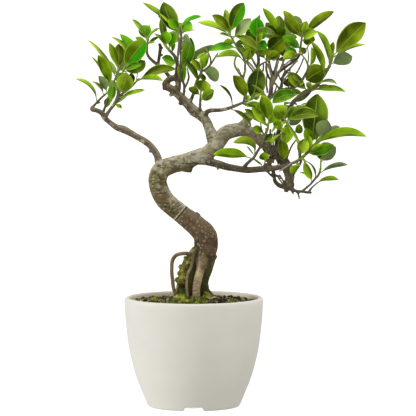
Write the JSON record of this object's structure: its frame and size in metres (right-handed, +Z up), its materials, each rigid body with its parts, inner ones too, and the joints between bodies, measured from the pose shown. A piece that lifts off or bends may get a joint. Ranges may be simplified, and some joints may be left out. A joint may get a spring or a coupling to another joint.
{
  "type": "ficus bonsai",
  "caption": "Small-leaved fig bonsai with an S-shaped trunk on stilt roots, wide leafy crown and soil in a round tapered pot.",
  "frame": {"origin": "bottom centre of the box round the whole plant and pot, on the surface it stands on", "axes": "+Z up from the foot of the pot, +X to the right in the front view, +Y away from the front"},
  "size_m": [0.3548, 0.186, 0.4957],
  "materials": {
    "pot": "eggshell white glaze",
    "soil": "moist dark potting mix with moss",
    "wood": "grey-brown bark with pale lenticels",
    "leaf": "glossy green leaf"
  },
  "bodies": {
    "root": {"pot": "pot", "soil": "soil", "trunk": "wood", "left_arm_leaves": "leaf", "left_mid_leaves": "leaf", "left_inner_leaves": "leaf", "left_top_leaves": "leaf", "crown_left_leaves": "leaf", "crown_mid_leaves": "leaf", "crown_side_leaves": "leaf", "crown_low_leaves": "leaf", "middle_leaves": "leaf", "middle_back_leaves": "leaf", "upper_right_leaves": "leaf", "upper_inner_leaves": "leaf", "upper_side_leaves": "leaf", "right_top_leaves": "leaf", "right_fork_leaves": "leaf", "right_tip_leaves": "leaf", "front_fan_leaves": "leaf", "front_whorl_leaves": "leaf", "front_right_leaves": "leaf", "front_low_leaves": "leaf", "front_under_leaves": "leaf", "low_right_leaves": "leaf", "low_tip_leaves": "leaf", "across_leaves": "leaf", "inner_low_leaves": "leaf", "limb_leaves": "leaf", "back_left_leaves": "leaf", "back_top_leaves": "leaf", "back_right_leaves": "leaf", "back_low_leaves": "leaf"}
  },
  "joints": []
}
